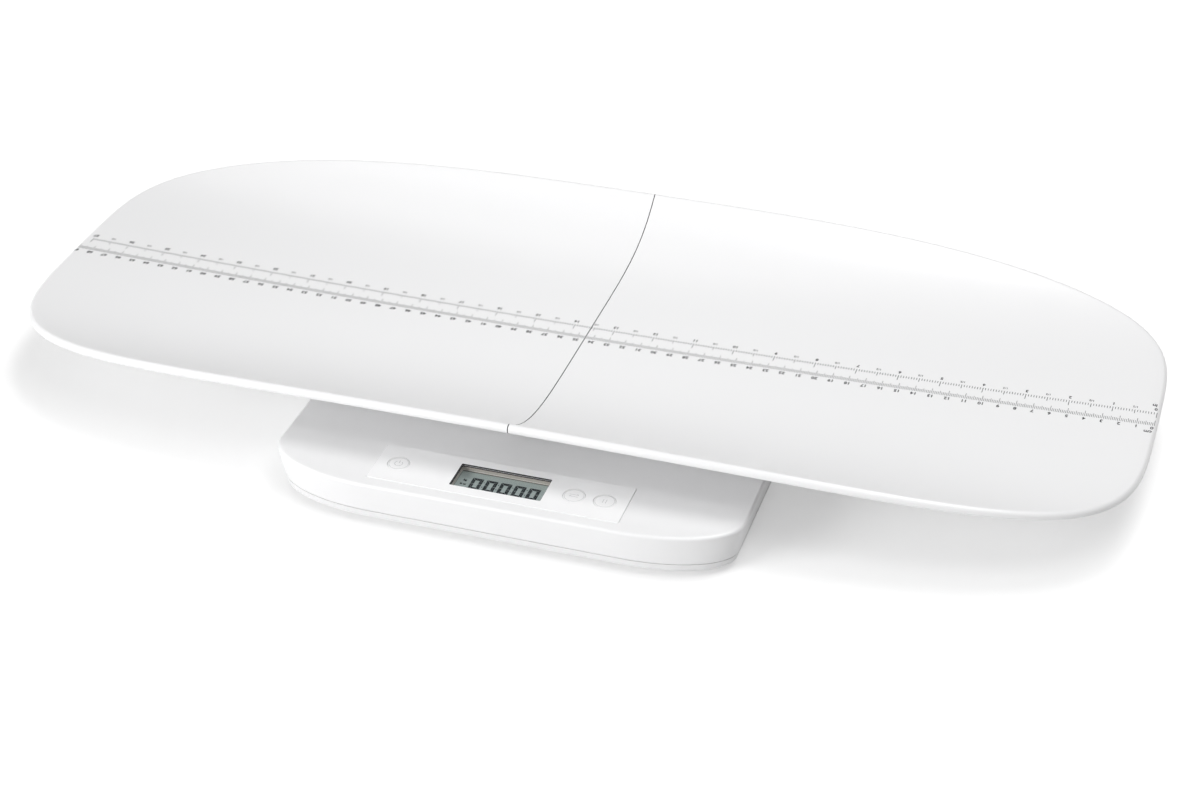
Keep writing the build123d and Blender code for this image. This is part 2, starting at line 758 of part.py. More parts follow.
def main():
    """Build and write all the nodes."""
    os.makedirs("parts", exist_ok=True)
    right = make_tray_half()
    save("tray_right", right)
    save("tray_left", mirror(right, about=Plane.YZ))
    save("base_upper_housing", make_upper_housing())
    save("base_lower_housing", make_lower_housing())
    save("control_panel", make_control_panel())
    for name, x in button_x.items():
        save(name, make_button(x))
    save("display_lens", make_display_lens())
    save("lcd_frame", make_lcd_frame())
    save("lcd_glass", make_lcd_glass())
    save("zebra_strips", make_zebra_strips())
    save("circuit_board", make_circuit_board())
    save("board_components", make_board_components())
    save("tact_switches", make_tact_switches())
    save("board_screws", make_board_screws())
    save("housing_screws", make_housing_screws())
    for place, x, y in cell_places():
        save(f"load_cell_{place}", make_load_cell(x, y))
        save(f"cell_retainer_{place}", make_retainer(x, y))
        save(f"foot_{place}", make_foot(x, y))
        save(f"foot_pad_{place}", make_pad(x, y))
    save("retainer_screws", make_retainer_screws())
    for row in range(len(battery_rows())):
        save(f"battery_cell_{row + 1}", make_battery(row))
    save("battery_contact_plates", make_contact_plates())
    save("battery_contact_springs", make_contact_springs())
    save("battery_door", make_battery_door())
    save("load_cell_leads", make_cell_leads())
    save("battery_leads", make_battery_leads())


main()
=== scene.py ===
# %% [markdown]
# # A digital baby weighing scale
#
# The scale is a shallow white tray in two halves, with a ruler printed along it, that stands on
# a low base with a display and three push buttons. Its solids come from the construction model
# and stay exactly where they are. This notebook adds the camera and the light, gives every
# solid its finish, makes the tray's surface again as an even grid, and adds what is too fine
# for a solid: the printed ruler, the figures of the display, the dark edge of its window and
# the marks on the buttons.

# %% Load the frame
import json
from math import atan, cos, pi, radians, sin

import bmesh
import bpy
from mathutils import Matrix, Vector


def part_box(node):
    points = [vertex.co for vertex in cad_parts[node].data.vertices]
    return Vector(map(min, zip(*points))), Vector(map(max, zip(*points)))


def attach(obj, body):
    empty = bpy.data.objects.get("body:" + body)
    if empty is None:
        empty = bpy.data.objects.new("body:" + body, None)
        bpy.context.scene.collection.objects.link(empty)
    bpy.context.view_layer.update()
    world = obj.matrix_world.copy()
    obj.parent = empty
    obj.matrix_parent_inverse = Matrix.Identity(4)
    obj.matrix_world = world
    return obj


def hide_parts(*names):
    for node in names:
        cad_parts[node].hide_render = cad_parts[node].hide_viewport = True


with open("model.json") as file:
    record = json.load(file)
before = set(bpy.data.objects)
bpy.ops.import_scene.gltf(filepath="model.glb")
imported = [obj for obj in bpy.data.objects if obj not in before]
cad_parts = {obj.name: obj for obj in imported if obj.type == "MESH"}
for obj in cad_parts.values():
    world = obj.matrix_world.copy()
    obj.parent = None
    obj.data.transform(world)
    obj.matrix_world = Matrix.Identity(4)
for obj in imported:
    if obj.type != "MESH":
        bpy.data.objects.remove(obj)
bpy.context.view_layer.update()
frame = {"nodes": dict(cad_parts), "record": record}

NODES = frame["nodes"]
MM = 0.001
scene = bpy.context.scene

# %% [markdown]
# ## The camera
#
# A product picture of something long and low is taken with a fairly long lens, from a little
# above, so that its straight lines stay straight. Blender's camera looks down its own -Z axis,
# so it is tipped up by 90 degrees less the angle at which it looks down, and then turned.

# %% Camera
LENS_MM = 73.95
LOOK_DOWN = radians(32.83)
TURN = radians(17.7)
CAMERA_PLACE = (0.4012, -1.2159, 0.8288)

camera = bpy.data.objects.new("camera", bpy.data.cameras.new("camera"))
camera.data.lens = LENS_MM
camera.data.sensor_width = 36.0
camera.data.clip_end = 50.0
camera.location = CAMERA_PLACE
camera.rotation_euler = (pi / 2 - LOOK_DOWN, 0, TURN)
scene.collection.objects.link(camera)
scene.camera = camera
scene.view_settings.view_transform = "Standard"
print("camera at", CAMERA_PLACE)

# %% [markdown]
# ## Building materials from nodes
#
# A moulded part is never one flat colour. Its pigment drifts a little, its gloss changes where
# the mould was polished or touched, and a fine grain breaks up the reflections. The helper
# below makes those three from noise on Object coordinates, so they need no UV map.

# %% Helper: a blank material and its nodes


class Nodes:
    """A node tree that is built one short call at a time."""

    def __init__(self, tree):
        self.tree = tree

    def add(self, kind, inputs=None, **settings):
        """A node with some of its settings, and with its inputs filled."""
        node = self.tree.nodes.new(kind)
        for name, value in settings.items():
            setattr(node, name, value)
        self.fill(node, inputs or {})
        return node

    def fill(self, node, inputs):
        """Give each input a value, or join it to another node's output."""
        for place, value in inputs.items():
            if isinstance(value, bpy.types.NodeSocket):
                self.tree.links.new(value, node.inputs[place])
            else:
                node.inputs[place].default_value = value


PATTERN_REACH = (0.3, 0.7)      # nearly all of a noise pattern lies between these
CLOUD_WAVES, WEAR_WAVES = 6.0, 40.0      # waves per metre of a plastic's drift in tone and in gloss
PLASTIC_IOR = 1.5


def blank_material(name):
    """A material with an empty tree, its helper and its shader."""
    material = bpy.data.materials.new(name)
    material.use_nodes = True
    tree = material.node_tree
    tree.nodes.clear()
    nodes = Nodes(tree)
    shader = nodes.add("ShaderNodeBsdfPrincipled")
    nodes.add("ShaderNodeOutputMaterial", {"Surface": shader.outputs["BSDF"]})
    return material, nodes, shader


def object_place(nodes):
    """A place on the piece, in metres from its origin."""
    return nodes.add("ShaderNodeTexCoord").outputs["Object"]


def noise(nodes, scale, detail=2.0, stretch=(1, 1, 1)):
    """A noise pattern; scale is in waves per metre."""
    mapping = nodes.add("ShaderNodeMapping", {"Vector": object_place(nodes), "Scale": stretch})
    texture = nodes.add("ShaderNodeTexNoise", {
        "Vector": mapping.outputs["Vector"], "Scale": scale, "Detail": detail})
    return texture.outputs["Fac"]


def between(nodes, factor, low, high, reach=PATTERN_REACH):
    """A number that goes from low to high as a factor goes over its reach."""
    ramp = nodes.add("ShaderNodeMapRange", {
        "Value": factor, "From Min": reach[0], "From Max": reach[1], "To Min": low, "To Max": high})
    return ramp.outputs["Result"]


def mixed(nodes, factor, first, second):
    """A colour between two colours or sockets."""
    mix = nodes.add("ShaderNodeMix", {"Factor": factor, "A": first, "B": second}, data_type="RGBA")
    return mix.outputs["Result"]


def two_tones(nodes, factor, first, second):
    """A colour that follows a pattern from one tone to another."""
    return mixed(nodes, between(nodes, factor, 0, 1), (*first, 1), (*second, 1))


def calculate(nodes, operation, first, second):
    """A Math node on two numbers or sockets."""
    return nodes.add("ShaderNodeMath", {0: first, 1: second}, operation=operation).outputs[0]


def grain(nodes, shader, height, depth):
    """A bump of that real depth, in metres."""
    bump = nodes.add("ShaderNodeBump", {"Height": height, "Distance": depth, "Strength": 1.0})
    nodes.fill(shader, {"Normal": bump.outputs["Normal"]})


def moulded(name, tone, drift, gloss, spread, wave, depth):
    """Moulded plastic: tone and its drift, roughness and its spread, grain size and depth."""
    material, nodes, shader = blank_material(name)
    other = tuple(max(0.0, channel - drift) for channel in tone)
    nodes.fill(shader, {
        "Base Color": two_tones(nodes, noise(nodes, CLOUD_WAVES, 3.0), tone, other),
        "Roughness": between(nodes, noise(nodes, WEAR_WAVES, 4.0), gloss, gloss + spread),
        "IOR": PLASTIC_IOR,
    })
    grain(nodes, shader, noise(nodes, 1.0 / wave), depth)
    return material


def shade_band(material, axis, low, high, tone):
    """Lay a tone over a finish between two places on one axis, in metres: painted shade where the tone is
    dark, painted light where it is pale.
    """
    nodes = Nodes(material.node_tree)
    shader = next(node for node in nodes.tree.nodes if node.type == "BSDF_PRINCIPLED")
    under = shader.inputs["Base Color"].links[0].from_socket
    split = nodes.add("ShaderNodeSeparateXYZ", {0: object_place(nodes)})
    inside = nodes.add("ShaderNodeMath", {
        0: split.outputs[axis], 1: (low + high) / 2, 2: (high - low) / 2}, operation="COMPARE")
    nodes.fill(shader, {"Base Color": mixed(nodes, inside.outputs[0], under, (*tone, 1))})


print("material helpers ready")

# %% [markdown]
# ## White plastics
#
# Several whites meet on this scale. The tray is polished and catches broad soft reflections. The
# top of the base is a shade quieter, and the floor plate, which no one sees in use, has the
# matt spark-eroded texture that hides scratches. The panel and the button caps are the
# glossiest of all, because they are a clear overlay with the print behind it. The two faces
# that meet at the seam get a dark tone of painted shade, which stands for the shade in the
# narrow gap, so that it reads as the fine line it is.

# %% Finishes of the white parts
WHITE = {
    "tray_plastic": moulded("tray_white", (0.885, 0.885, 0.89), 0.008, 0.285, 0.04, 0.005, 2e-6),
    "housing_plastic": moulded("housing_white", (0.87, 0.87, 0.875), 0.010, 0.30, 0.05, 0.004, 2e-6),
    "floor_plastic": moulded("floor_plate_white", (0.86, 0.86, 0.865), 0.015, 0.5, 0.1, 0.0005, 2.5e-5),
    "panel_overlay": moulded("overlay_white", (0.93, 0.93, 0.935), 0.006, 0.12, 0.03, 0.002, 2e-6),
    "button_cap": moulded("cap_white", (0.91, 0.91, 0.915), 0.006, 0.16, 0.04, 0.001, 3e-6),
    "retainer_plastic": moulded("retainer_natural", (0.70, 0.69, 0.66), 0.03, 0.4, 0.1, 0.0006, 1.5e-5),
    "foot_plastic": moulded("foot_grey", (0.60, 0.60, 0.61), 0.02, 0.4, 0.1, 0.0006, 1.5e-5),
}
# Painted shade: a dark tone on the tray's faces within SEAM_SHADE of the gap stands for the shade between the
# halves.
SEAM_SHADE, SEAM_PAINTED_SHADE = 0.3 * MM, (0.16, 0.16, 0.165)
shade_band(WHITE["tray_plastic"], "X", -SEAM_SHADE, SEAM_SHADE, SEAM_PAINTED_SHADE)
print("white finishes", len(WHITE))

# %% [markdown]
# ## Dark, rubber, metal and glass finishes
#
# Rubber is matt and dusty, plated steel is drawn in one direction, solder mask is a glossy
# green skin over copper, and the display is grey glass behind a clear window. The collar
# round the display is one plain wall, so bands of painted light and shade draw the lines on it:
# a dark band of painted shade at its foot, a pale band of painted highlight over that, and a
# dark band of painted shade under the window.

# %% Finishes of the small and hidden parts


def drawn_metal(name, tone, rough):
    """Rolled or plated metal with fine lines along X."""
    material, nodes, shader = blank_material(name)
    lines = noise(nodes, 900.0, stretch=(0.04, 1, 1))
    lighter = tuple(min(1.0, channel + 0.06) for channel in tone)
    nodes.fill(shader, {
        "Base Color": two_tones(nodes, lines, tone, lighter),
        "Roughness": between(nodes, lines, rough, rough + 0.14),
        "Metallic": 1.0,
    })
    grain(nodes, shader, lines, 6e-6)
    return material


def solder_mask():
    """Green skin over copper tracks, which show as a weave of slightly raised lines."""
    material, nodes, shader = blank_material("solder_mask")
    tracks = nodes.add("ShaderNodeTexBrick", {
        "Vector": object_place(nodes), "Scale": 220.0, "Mortar Size": 0.04,
        "Color1": (0.02, 0.16, 0.06, 1), "Color2": (0.025, 0.19, 0.075, 1), "Mortar": (0.04, 0.27, 0.11, 1)})
    nodes.fill(shader, {
        "Base Color": tracks.outputs["Color"],
        "Roughness": between(nodes, noise(nodes, 90.0), 0.25, 0.4),
    })
    grain(nodes, shader, tracks.outputs["Fac"], 2e-5)
    return material


def clear_window():
    """The clear window: nearly all of it lets light through, and the rest is polish."""
    material, nodes, shader = blank_material("clear_window")
    nodes.fill(shader, {
        "Base Color": two_tones(nodes, noise(nodes, 12.0), (0.35, 0.37, 0.37), (0.33, 0.36, 0.36)),
        "Roughness": between(nodes, noise(nodes, 60.0), 0.02, 0.05),
        "Alpha": 0.03,
    })
    return material


def crystal_glass():
    """The display's grey-green glass, with the faint streaks of its polariser."""
    material, nodes, shader = blank_material("crystal_glass")
    streaks = noise(nodes, 700.0, 1.0, stretch=(0.02, 1, 1))
    nodes.fill(shader, {
        "Base Color": two_tones(nodes, streaks, (0.37, 0.44, 0.43), (0.40, 0.47, 0.455)),
        "Roughness": between(nodes, noise(nodes, 50.0), 0.18, 0.26),
    })
    grain(nodes, shader, noise(nodes, 3000.0), 1e-6)
    return material


SMALL = {
    "display_lens": clear_window(),
    "lcd_frame": moulded("display_surround", (0.47, 0.435, 0.40), 0.04, 0.35, 0.1, 0.0004, 8e-6),
    "lcd_glass": crystal_glass(),
    "connector_rubber": moulded("contact_rubber", (0.03, 0.03, 0.032), 0.01, 0.6, 0.1, 0.0002, 1e-5),
    "board": solder_mask(),
    "components": moulded("epoxy_black", (0.018, 0.018, 0.02), 0.006, 0.4, 0.15, 0.0003, 1e-5),
    "switch_body": moulded("nylon_black", (0.025, 0.025, 0.028), 0.008, 0.45, 0.1, 0.0004, 1e-5),
    "screw_steel": drawn_metal("zinc_plate", (0.56, 0.57, 0.58), 0.25),
    "cell_steel": drawn_metal("spring_steel", (0.50, 0.51, 0.53), 0.3),
    "pad_rubber": moulded("pad_rubber", (0.33, 0.33, 0.335), 0.03, 0.75, 0.12, 0.0004, 3e-5),
    "battery_case": moulded("battery_sleeve", (0.03, 0.035, 0.05), 0.01, 0.25, 0.08, 0.002, 5e-6),
    "contact_metal": drawn_metal("nickel_plate", (0.66, 0.65, 0.62), 0.18),
    "lead_insulation": moulded("lead_red", (0.32, 0.02, 0.02), 0.05, 0.45, 0.1, 0.0005, 1e-5),
}
# Painted light and shade on the collar: shade at its foot, a highlight over it, shade under the window.
COLLAR_LIGHT_AND_SHADE = [                # from and to in millimetres over the floor, and the tone
    (26.7, 27.3, (0.11, 0.09, 0.075)),
    (27.3, 27.9, (0.62, 0.60, 0.56)),
    (29.75, 30.2, (0.03, 0.028, 0.026)),
]
for low, high, tone in COLLAR_LIGHT_AND_SHADE:
    shade_band(SMALL["lcd_frame"], "Z", low * MM, high * MM, tone)
print("small finishes", len(SMALL))

# %% Give every solid its finish
FINISH = {**WHITE, **SMALL}
slot_of = {part["node"]: part["material_slot"] for part in frame["record"]["subparts"]}
for name, node in NODES.items():
    for place in node.material_slots:
        place.material = FINISH[slot_of[name]]
print("finished nodes", len(slot_of))

# %% Helper: finish a piece


def finish_piece(name, gather, material, body):
    """A new piece from gathered faces, which rides on a body."""
    bmesh.ops.recalc_face_normals(gather, faces=gather.faces)
    mesh = bpy.data.meshes.new(name)
    gather.to_mesh(mesh)
    gather.free()
    mesh.materials.append(material)
    piece = bpy.data.objects.new(name, mesh)
    scene.collection.objects.link(piece)
    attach(piece, body)
    return piece


print("piece helper ready")

# %% [markdown]
# ## A smooth tray from its formula
#
# A solid reaches Blender as few, long triangles. That is plenty for a check, but a glossy dish
# with a gentle curve shows every one of them. So both halves are made again here from the
# formula that shaped them, as an even grid. Everything in this part is in millimetres until a
# point is made.
#
# The height of the dish is a shallow bowl along X plus a steep fifth power across Y. Its plan
# is a superellipse, and a grid must fill that plan without crowding at the ends. The mapping
# below does it: it pulls each edge of a square out on to the outline, because at u = 1 the two
# terms of the outline always add up to one.

# %% Shape of the dish
HALF_LENGTH, HALF_WIDTH = 347.0, 146.5
TRAY_Y = 16.15
TRAY_Z = 41.3
END_RISE, SIDE_RISE, SIDE_FADE, SIDE_POWER = 5.2, 26.6, 0.41, 5.0
POWER_X, POWER_Y = 3.7, 4.3
WALL = 2.6
SEAM = 0.25                     # half the gap between the halves
LIP_HEIGHT, LIP_EXTRA = 4.7, 2.4
LIP_ROUND, LIP_UNDER = 2.6, 1.8
LIP_SOLE = (SIDE_RISE - LIP_EXTRA, -LIP_HEIGHT)      # rise and drop of the surface under the lip
CENTRE_X, CENTRE_Y = HALF_LENGTH - LIP_ROUND, HALF_WIDTH - LIP_ROUND
STEPS_U, STEPS_V = 72, 64
ARC_UPPER, ARC_LOWER = 8, 5
PULL_POWER = 6                  # how fast the lip's pull on the grid fades towards the middle


def dish_z(x, y, side=SIDE_RISE, lift=0.0):
    """Height of the dish over the floor at a place measured from the tray's middle."""
    along = (x / HALF_LENGTH) ** 2
    across = (abs(y) / HALF_WIDTH) ** SIDE_POWER
    return TRAY_Z + lift + END_RISE * along + side * (1 - SIDE_FADE * along) * across


def square_to_outline(u, v):
    """A place in the plan from a place in a square; u runs 0 to 1, v runs -1 to 1."""
    x = CENTRE_X * u * (1 - abs(v) ** POWER_Y / 2) ** (1 / POWER_X)
    y = CENTRE_Y * v * (1 - u ** POWER_X / 2) ** (1 / POWER_Y)
    return x, y


def outward(x, y):
    """The outline's unit normal at a place on it."""
    nx = POWER_X * (x / CENTRE_X) ** (POWER_X - 1) / CENTRE_X
    ny = POWER_Y * (abs(y) / CENTRE_Y) ** (POWER_Y - 1) / CENTRE_Y
    normal = Vector((nx, ny if y > 0 else -ny))
    return normal.normalized()


def lip_profile(x, y):
    """The rolled lip at a place on the outline, as (distance outwards, height) from the top round."""
    nx, ny = outward(x, y)

    def height(inset, side=SIDE_RISE, lift=0.0):
        """Height of a surface at a distance in from the outer wall."""
        out = LIP_ROUND - inset
        return dish_z(x + out * nx, y + out * ny, side, lift)

    def settle(radius, way, *surface):
        """Where a round of that radius touches the surface, and the surface's slope there."""
        inset, lean, probe = radius, 0.0, 0.05
        for _ in range(8):
            drop = height(inset - probe, *surface) - height(inset + probe, *surface)
            lean = atan(drop / (2 * probe))
            inset = radius * (1 + way * sin(lean))
        return height(inset, *surface), lean

    points = []
    touch, lean = settle(LIP_ROUND, 1)
    centre = touch - LIP_ROUND * cos(lean)
    for k in range(ARC_UPPER + 1):
        turn = (pi / 2 + lean) * (1 - k / ARC_UPPER)
        points.append((LIP_ROUND * cos(turn), centre + LIP_ROUND * sin(turn)))
    touch, lean = settle(LIP_UNDER, -1, *LIP_SOLE)
    centre = touch + LIP_UNDER * cos(lean)
    for k in range(ARC_LOWER + 1):
        turn = -(pi / 2 - lean) * k / ARC_LOWER
        points.append((LIP_ROUND - LIP_UNDER + LIP_UNDER * cos(turn), centre + LIP_UNDER * sin(turn)))
    points.append((0.0, height(LIP_ROUND, *LIP_SOLE)))
    return points


print("dish centre", dish_z(0, 0), "lip at the seam", [round(p[1], 1) for p in lip_profile(0, CENTRE_Y)][::7])

# %% [markdown]
# ## From the formula to a closed shell
#
# The shell is built right-handed: a top grid, rings of points that roll over the lip, a wall
# inside the lip, an underside grid, and a flat face at the seam. Neighbouring parts share their
# points, so the shell is closed, and Blender can turn every face outwards by itself.

# %% Tray shell


def tray_plan():
    """Rows of plan points from front to back; the first two columns are straight."""
    rows = []
    for i in range(STEPS_V + 1):
        v = 2 * i / STEPS_V - 1
        row = [(SEAM, CENTRE_Y * v), (SEAM + WALL, CENTRE_Y * v)]
        row += [square_to_outline(j / STEPS_U, v) for j in range(1, STEPS_U + 1)]
        rows.append(row)
    return rows


def round_the_edge():
    """Row and column of every plan point on the outline, from the seam's front to its back."""
    last = STEPS_U + 1
    front = [(0, j) for j in range(last)]
    end = [(i, last) for i in range(STEPS_V + 1)]
    back = [(STEPS_V, j) for j in reversed(range(last))]
    return front + end + back


def pulled_in(plan, lips):
    """The plan moved in at its edge to where the lip begins, less and less towards the middle."""
    last = STEPS_U + 1
    move = {}
    for (i, j), profile in zip(round_the_edge(), lips):
        normal = outward(*plan[i][j])
        move[i, j] = normal * profile[0][0]
    rows = []
    for i, row in enumerate(plan):
        near = 0 if i < STEPS_V / 2 else STEPS_V
        share_v = abs(2 * i / STEPS_V - 1) ** PULL_POWER
        moved = []
        for j, (x, y) in enumerate(row):
            share_u = (max(j - 1, 0) / STEPS_U) ** PULL_POWER
            shift = move[i, last] * share_u + move[near, j] * share_v
            shift -= move[near, last] * share_u * share_v
            moved.append((x + shift[0], y + shift[1]))
        rows.append(moved)
    return rows


def tray_shell():
    """One half of the tray as a closed shell."""
    gather = bmesh.new()

    def point(x, y, z):
        """A vertex from millimetres."""
        return gather.verts.new((x * MM, (y + TRAY_Y) * MM, z * MM))

    def strip(first, second):
        """Quads between two equal rows of vertices."""
        for corners in zip(first, first[1:], second[1:], second):
            gather.faces.new(corners)

    def sheet(rows):
        """Quads between all neighbouring rows."""
        for first, second in zip(rows, rows[1:]):
            strip(first, second)

    plan = tray_plan()
    edge = round_the_edge()
    lips = [lip_profile(*plan[i][j]) for i, j in edge]
    top = [[point(x, y, dish_z(x, y)) for x, y in row] for row in pulled_in(plan, lips)]
    sheet(top)

    rings = [[top[i][j] for i, j in edge]]
    for k in range(1, len(lips[0])):
        ring = []
        for (i, j), profile in zip(edge, lips):
            x, y = plan[i][j]
            nx, ny = outward(x, y)
            out, z = profile[k]
            ring.append(point(x + out * nx, y + out * ny, z))
        rings.append(ring)
    sheet(rings)
    foot = rings[-1]

    inner_rows = range(1, STEPS_V)
    sole = []
    for j in (0, 1):
        middle = [point(*plan[i][j], dish_z(*plan[i][j], *LIP_SOLE)) for i in inner_rows]
        sole.append([foot[j]] + middle + [foot[-1 - j]])
    strip(*sole)
    strip([row[0] for row in top], sole[0])
    gather.faces.new([ring[0] for ring in rings])
    gather.faces.new([ring[-1] for ring in rings])

    under = [[point(x, y, dish_z(x, y) - WALL) for x, y in row[1:]] for row in plan]
    sheet(under)
    strip(foot[1:-1], [under[i][j - 1] for i, j in edge[1:-1]])
    strip(sole[1], [row[0] for row in under])
    return gather


shell = tray_shell()
print("open edges", sum(not e.is_manifold for e in shell.edges), "faces", len(shell.faces))
shell.free()

# %% [markdown]
# ## Ribs and pegs under the tray
#
# From below, each half shows the frame that stands on the base, ribs that run out under the
# wing and three pegs. The top of each rib ends inside the wall of the dish.

# %% Under the tray
RIB_ROOT = 1.0
BASE_TOP = 31.0
FRAME_X, FRAME_SIZE, FRAME_WALL = 62.0, (112.0, 170.0), 2.5
FRAME_RIBS_Y = (-40.0, 0.0, 40.0)
RIB = 2.0
WING_X, WING_Z, WING_Y = (116.0, 310.0), (31.6, 39.5), (-60.0, 0.0, 60.0)
PEG_PLACES = [(22.0, -70.0), (22.0, 96.0), (105.0, 12.0)]
PEG_RADIUS, PEG_LOW, PEG_POINT, SHOULDER_RADIUS = 5.0, 23.5, 1.0, 8.0
SHARP_ANGLE = radians(35)       # faces that meet at less than this are shaded as one surface


def rib(gather, start, end, thickness, low=(BASE_TOP, BASE_TOP), steps=24):
    """A wall from start to end that follows the underside of the dish."""
    a, b = Vector(start), Vector(end)
    along = (b - a).normalized()
    across = Vector((-along.y, along.x)) * thickness / 2
    stations = []
    for i in range(steps + 1):
        share = i / steps
        middle = a.lerp(b, share)
        bottom = low[0] + (low[1] - low[0]) * share
        high = dish_z(middle.x, middle.y) - WALL + RIB_ROOT
        near, far = middle - across, middle + across
        corners = [(near, bottom), (far, bottom), (far, high), (near, high)]
        stations.append([gather.verts.new((p.x * MM, (p.y + TRAY_Y) * MM, z * MM)) for p, z in corners])
    for first, second in zip(stations, stations[1:]):
        for k in range(4):
            gather.faces.new((first[k], first[k - 1], second[k - 1], second[k]))
    gather.faces.new(stations[0])
    gather.faces.new(stations[-1])


def turned(gather, x, y, profile, sides=32):
    """A closed turned shape on an upright axis; the profile is (radius, height) from below."""
    turns = [2 * pi * i / sides for i in range(sides)]
    rings = []
    for radius, z in profile:
        places = [(x + radius * cos(turn), y + radius * sin(turn)) for turn in turns]
        rings.append([gather.verts.new((px * MM, py * MM, z * MM)) for px, py in places])
    for first, second in zip(rings, rings[1:]):
        for i in range(sides):
            gather.faces.new((first[i - 1], first[i], second[i], second[i - 1]))
    gather.faces.new(rings[0])
    gather.faces.new(rings[-1])


def under_tray(gather):
    """The frame, the ribs and the pegs of one half."""
    half_x, half_y = (size / 2 - FRAME_WALL / 2 for size in FRAME_SIZE)
    for side in (1, -1):
        rib(gather, (FRAME_X - half_x, side * half_y), (FRAME_X + half_x, side * half_y), FRAME_WALL)
        rib(gather, (FRAME_X + side * half_x, -half_y), (FRAME_X + side * half_x, half_y), FRAME_WALL)
    for y in FRAME_RIBS_Y:
        rib(gather, (FRAME_X - half_x, y), (FRAME_X + half_x, y), RIB)
    rib(gather, (FRAME_X, -half_y), (FRAME_X, half_y), RIB)
    for y in WING_Y:
        rib(gather, (WING_X[0], y), (WING_X[1], y), RIB, WING_Z)
    for x, y in PEG_PLACES:
        top = dish_z(x, y - TRAY_Y) - WALL + RIB_ROOT
        turned(gather, x, y, [(SHOULDER_RADIUS, BASE_TOP), (SHOULDER_RADIUS, top)])
        turned(gather, x, y, [(PEG_RADIUS - PEG_POINT, PEG_LOW), (PEG_RADIUS, PEG_LOW + PEG_POINT),
                              (PEG_RADIUS, BASE_TOP + RIB_ROOT)])


def tray_piece(name, side, gather):
    """A finished piece for one half; the left half is the right one mirrored."""
    if side == "tray_left":
        bmesh.ops.scale(gather, vec=(-1, 1, 1), verts=gather.verts)
    piece = finish_piece(name, gather, WHITE["tray_plastic"], side)
    for face in piece.data.polygons:
        face.use_smooth = True
    piece.data.set_sharp_from_angle(angle=SHARP_ANGLE)
    return piece


TRAY = {}
for side in ("tray_left", "tray_right"):
    TRAY[side] = tray_piece(f"smooth_{side}", side, tray_shell())
    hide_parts(side)
    ribs = bmesh.new()
    under_tray(ribs)
    tray_piece(f"ribs_{side}", side, ribs)
print("tray pieces", list(TRAY))

# %% [markdown]
# ## A floor that is white to the camera
#
# The scale stands on a white sweep. A floor that is lit as the scale is would come out a light
# grey, so its material adds a little glow for rays that come straight from the camera or off
# a gloss. The glow adds no light to the scale, and the floor keeps its soft shadow. It grows
# with the distance from the scale, because the lamps reach less and less of the floor there.

# %% Floor and world
FLOOR_TONE = (0.80, 0.80, 0.80)
FLOOR_REACH = 12.0
NEAR_GLOW, FAR_GLOW = 0.368, 1.0      # added to the floor by the scale, and away from it
GLOW_CENTRE = (0.0, -0.35, 0.0)
GLOW_REACH = (0.45, 1.6)              # metres from the centre over which the glow grows
SKY_LIGHT, SKY_SEEN = 0.12, 1.0       # what the sky sheds, and how bright a gloss mirrors it


def seen_directly(nodes):
    """1 for camera, mirror and see-through rays, and 0 for those that carry light."""
    path = nodes.add("ShaderNodeLightPath").outputs
    first = calculate(nodes, "MAXIMUM", path["Is Camera Ray"], path["Is Glossy Ray"])
    return calculate(nodes, "MAXIMUM", first, path["Is Transmission Ray"])


def sweep_material():
    """White matt paper with the glow described above."""
    material, nodes, shader = blank_material("white_sweep")
    away = nodes.add("ShaderNodeVectorMath", {0: object_place(nodes), 1: GLOW_CENTRE}, operation="DISTANCE")
    rise = between(nodes, away.outputs["Value"], NEAR_GLOW, FAR_GLOW, GLOW_REACH)
    nodes.fill(shader, {
        "Base Color": two_tones(nodes, noise(nodes, 2.0), FLOOR_TONE, FLOOR_TONE),
        "Roughness": 0.9,
        "Emission Color": (1, 1, 1, 1),
        "Emission Strength": calculate(nodes, "MULTIPLY", seen_directly(nodes), rise),
    })
    return material


def make_floor():
    """A wide flat sheet just under the rubber pads."""
    mesh = bpy.data.meshes.new("floor")
    corners = [(x * FLOOR_REACH, y * FLOOR_REACH, 0) for x, y in ((-1, -1), (1, -1), (1, 1), (-1, 1))]
    mesh.from_pydata(corners, [], [(0, 1, 2, 3)])
    floor = bpy.data.objects.new("floor", mesh)
    scene.collection.objects.link(floor)
    mesh.materials.append(sweep_material())


def make_world():
    """An even white sky, brighter where it is seen than where it lights."""
    world = bpy.data.worlds.new("studio")
    world.use_nodes = True
    nodes = Nodes(world.node_tree)
    background = next(node for node in world.node_tree.nodes if node.type == "BACKGROUND")
    nodes.fill(background, {
        "Color": (1, 1, 1, 1),
        "Strength": between(nodes, seen_directly(nodes), SKY_LIGHT, SKY_SEEN, (0, 1)),
    })
    scene.world = world


make_floor()
make_world()
print("floor and world ready")

# %% [markdown]
# ## Soft boxes
#
# Most of the light comes from a broad, low soft box to the left of the camera. It lights the
# front of the base and the near lip, and leaves the base's right-hand corner in shade, which
# shows its round. Two smaller boxes above the scale brighten the far wall of the dish and lay
# the soft shadow on the floor. A faint one behind lifts the far rim.

# %% Lamps


def soft_box(name, place, size, watts):
    """A rectangular lamp that looks at the middle of the scale."""
    light = bpy.data.lights.new(name, "AREA")
    light.shape = "RECTANGLE"
    light.size, light.size_y = size
    light.energy = watts
    lamp = bpy.data.objects.new(name, light)
    lamp.location = place
    lamp.rotation_euler = (-Vector(place)).to_track_quat("-Z", "Y").to_euler()
    scene.collection.objects.link(lamp)


